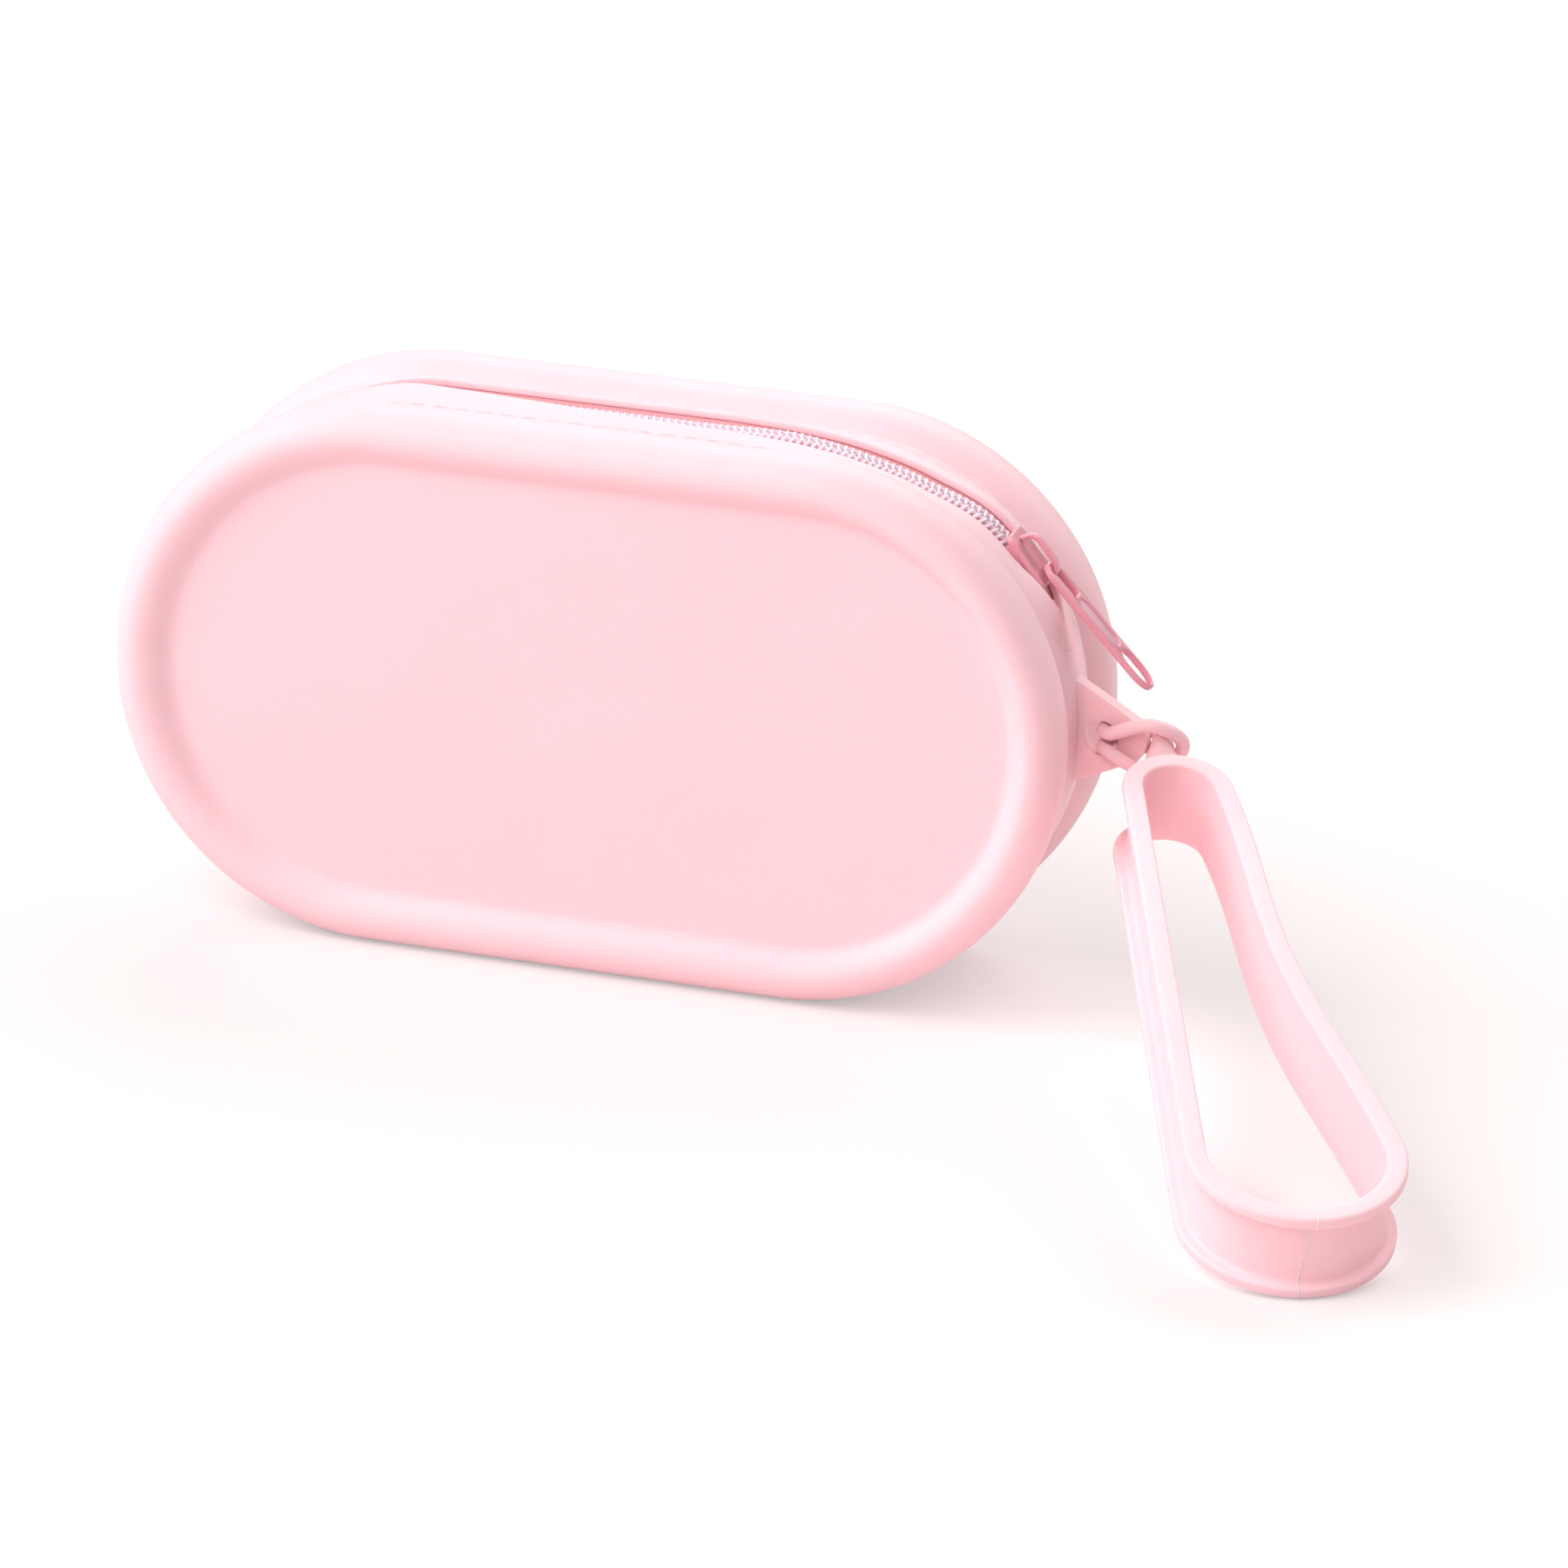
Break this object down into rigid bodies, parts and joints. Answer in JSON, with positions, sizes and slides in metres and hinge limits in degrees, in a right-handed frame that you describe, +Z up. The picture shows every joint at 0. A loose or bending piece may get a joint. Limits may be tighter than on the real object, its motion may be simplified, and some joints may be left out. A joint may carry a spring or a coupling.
{
  "type": "silicone makeup bag",
  "caption": "Pill-shaped soft silicone pouch with rounded rims, a coil zip over its top, a slider with a pull, and a hitched wrist strap.",
  "frame": {"origin": "on the surface the bag stands on, at the middle of the front rim's resting land", "axes": "+X along the bag to the end with the lug, the front panel faces -Y, +Z up"},
  "size_m": [0.2438, 0.1419, 0.095],
  "materials": {
    "body_silicone": "soft matt moulded silicone",
    "strap_silicone": "soft matt moulded silicone",
    "cord_silicone": "soft matt moulded silicone",
    "tape_polyester": "woven polyester",
    "coil_nylon": "satin nylon",
    "stop_metal": "enamelled",
    "seam_thread": "polyester thread",
    "slider_enamel": "enamelled",
    "bridge_enamel": "enamelled",
    "pull_enamel": "enamelled"
  },
  "bodies": {
    "bag": {"body_shell": "body_silicone", "zip_tape_front": "tape_polyester", "zip_tape_back": "tape_polyester", "zip_coil_front": "coil_nylon", "zip_coil_back": "coil_nylon", "top_stop_front": "stop_metal", "top_stop_back": "stop_metal", "bottom_stop": "stop_metal", "seam_needle_thread": "seam_thread", "seam_bobbin_thread": "seam_thread"},
    "slider": {"slider_body": "slider_enamel", "slider_bridge": "bridge_enamel"},
    "pull": {"pull_tab": "pull_enamel"},
    "hitch": {"strap_hitch": "cord_silicone"},
    "strap": {"wrist_strap": "strap_silicone"}
  },
  "joints": [
    {"name": "slider_travel", "type": "hinge", "parent": "bag", "child": "slider", "pos_m": [0.03615, 0.01744, 0.0475], "axis": [0, 1, 0], "range_deg": [-50.2, 3.7], "deforming": ["zip_coil_front", "zip_coil_back"]},
    {"name": "pull_swing", "type": "hinge", "parent": "slider", "child": "pull", "pos_m": [0.07491, 0.01744, 0.07581], "axis": [0, 1, 0], "range_deg": [-150, 0]},
    {"name": "strap_swing", "type": "hinge", "parent": "bag", "child": "hitch", "pos_m": [0.08575, 0.01744, 0.0475], "axis": [0, 1, 0], "range_deg": [-35, 20]},
    {"name": "strap_turn", "type": "hinge", "parent": "hitch", "child": "strap", "pos_m": [0.09686, 0.01477, 0.04439], "axis": [0.1154, -0.2449, 0.9627], "range_deg": [-12, 60], "deforming": ["strap_hitch"]}
  ]
}
